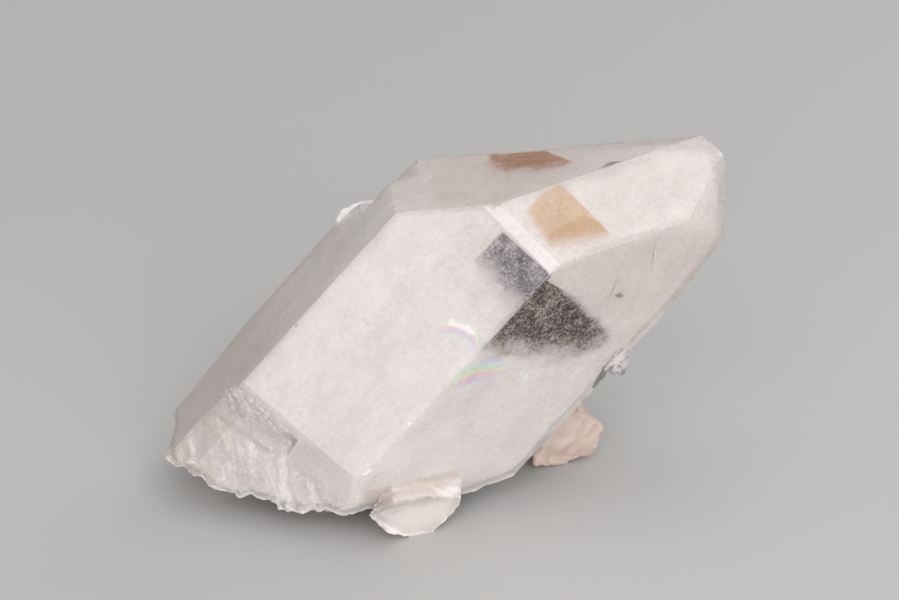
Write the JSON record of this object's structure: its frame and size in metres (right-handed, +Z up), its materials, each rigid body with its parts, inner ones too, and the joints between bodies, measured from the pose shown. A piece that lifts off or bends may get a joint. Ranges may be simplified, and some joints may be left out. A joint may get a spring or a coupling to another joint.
{
  "type": "quartz point",
  "caption": "Milky to clear quartz crystal point with flat prism and tip faces, leaning over and resting on its rough broken root.",
  "frame": {"origin": "under the middle of the whole piece's box, on the surface it rests on", "axes": "+X towards the leaning tip, along the longest side of the box; +Y to the back; +Z up"},
  "size_m": [0.1164, 0.0696, 0.0782],
  "materials": {
    "quartz": "glassy flat crystal faces over a milky inside with clear windows, sugary where broken"
  },
  "bodies": {
    "root": {"quartz_point": "quartz"}
  },
  "joints": []
}
